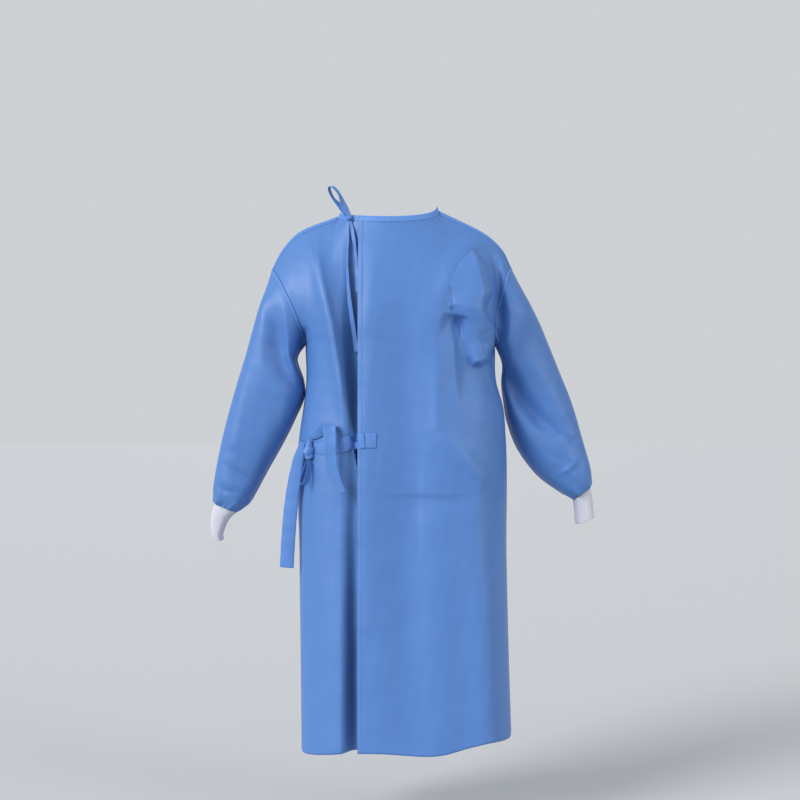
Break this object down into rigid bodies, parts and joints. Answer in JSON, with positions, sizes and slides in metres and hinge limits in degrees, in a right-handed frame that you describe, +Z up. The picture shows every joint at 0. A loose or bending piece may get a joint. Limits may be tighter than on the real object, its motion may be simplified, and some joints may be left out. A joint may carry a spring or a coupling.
{
  "type": "surgical gown",
  "caption": "Long-sleeved surgical gown, filled out and hollow, with an overlapping tied back, bound neck and knit cuffs.",
  "frame": {"origin": "where the wearer's shoulders carry the gown, level with the back neckline and between the shoulders", "axes": "+Z up, -Y out of the back with its overlap, +X to the wearer's right"},
  "size_m": [0.9133, 0.3257, 1.3177],
  "materials": {
    "gown_cloth": "smooth blue nonwoven cloth with a soft satin sheen",
    "binding_cloth": "folded strip of the same blue nonwoven cloth",
    "tie_cloth": "flat ties of the same blue nonwoven cloth",
    "cuff_knit": "white fine rib knit"
  },
  "bodies": {
    "root": {"front_panel": "gown_cloth", "back_panel_right": "gown_cloth", "back_panel_left": "gown_cloth", "sleeve_left": "gown_cloth", "sleeve_right": "gown_cloth", "cuff_left": "cuff_knit", "cuff_right": "cuff_knit", "neck_binding_front": "binding_cloth", "neck_binding_right": "binding_cloth", "neck_binding_left": "binding_cloth", "neck_tie_knot": "tie_cloth", "neck_tie_loop": "tie_cloth", "neck_tie_tail_1": "tie_cloth", "neck_tie_tail_2": "tie_cloth", "waist_tie_patch": "tie_cloth", "waist_tie_strap": "tie_cloth", "waist_tie_knot": "tie_cloth", "waist_tie_loop": "tie_cloth", "waist_tie_tail_short": "tie_cloth", "waist_tie_tail_long": "tie_cloth", "side_tie": "tie_cloth"}
  },
  "joints": []
}
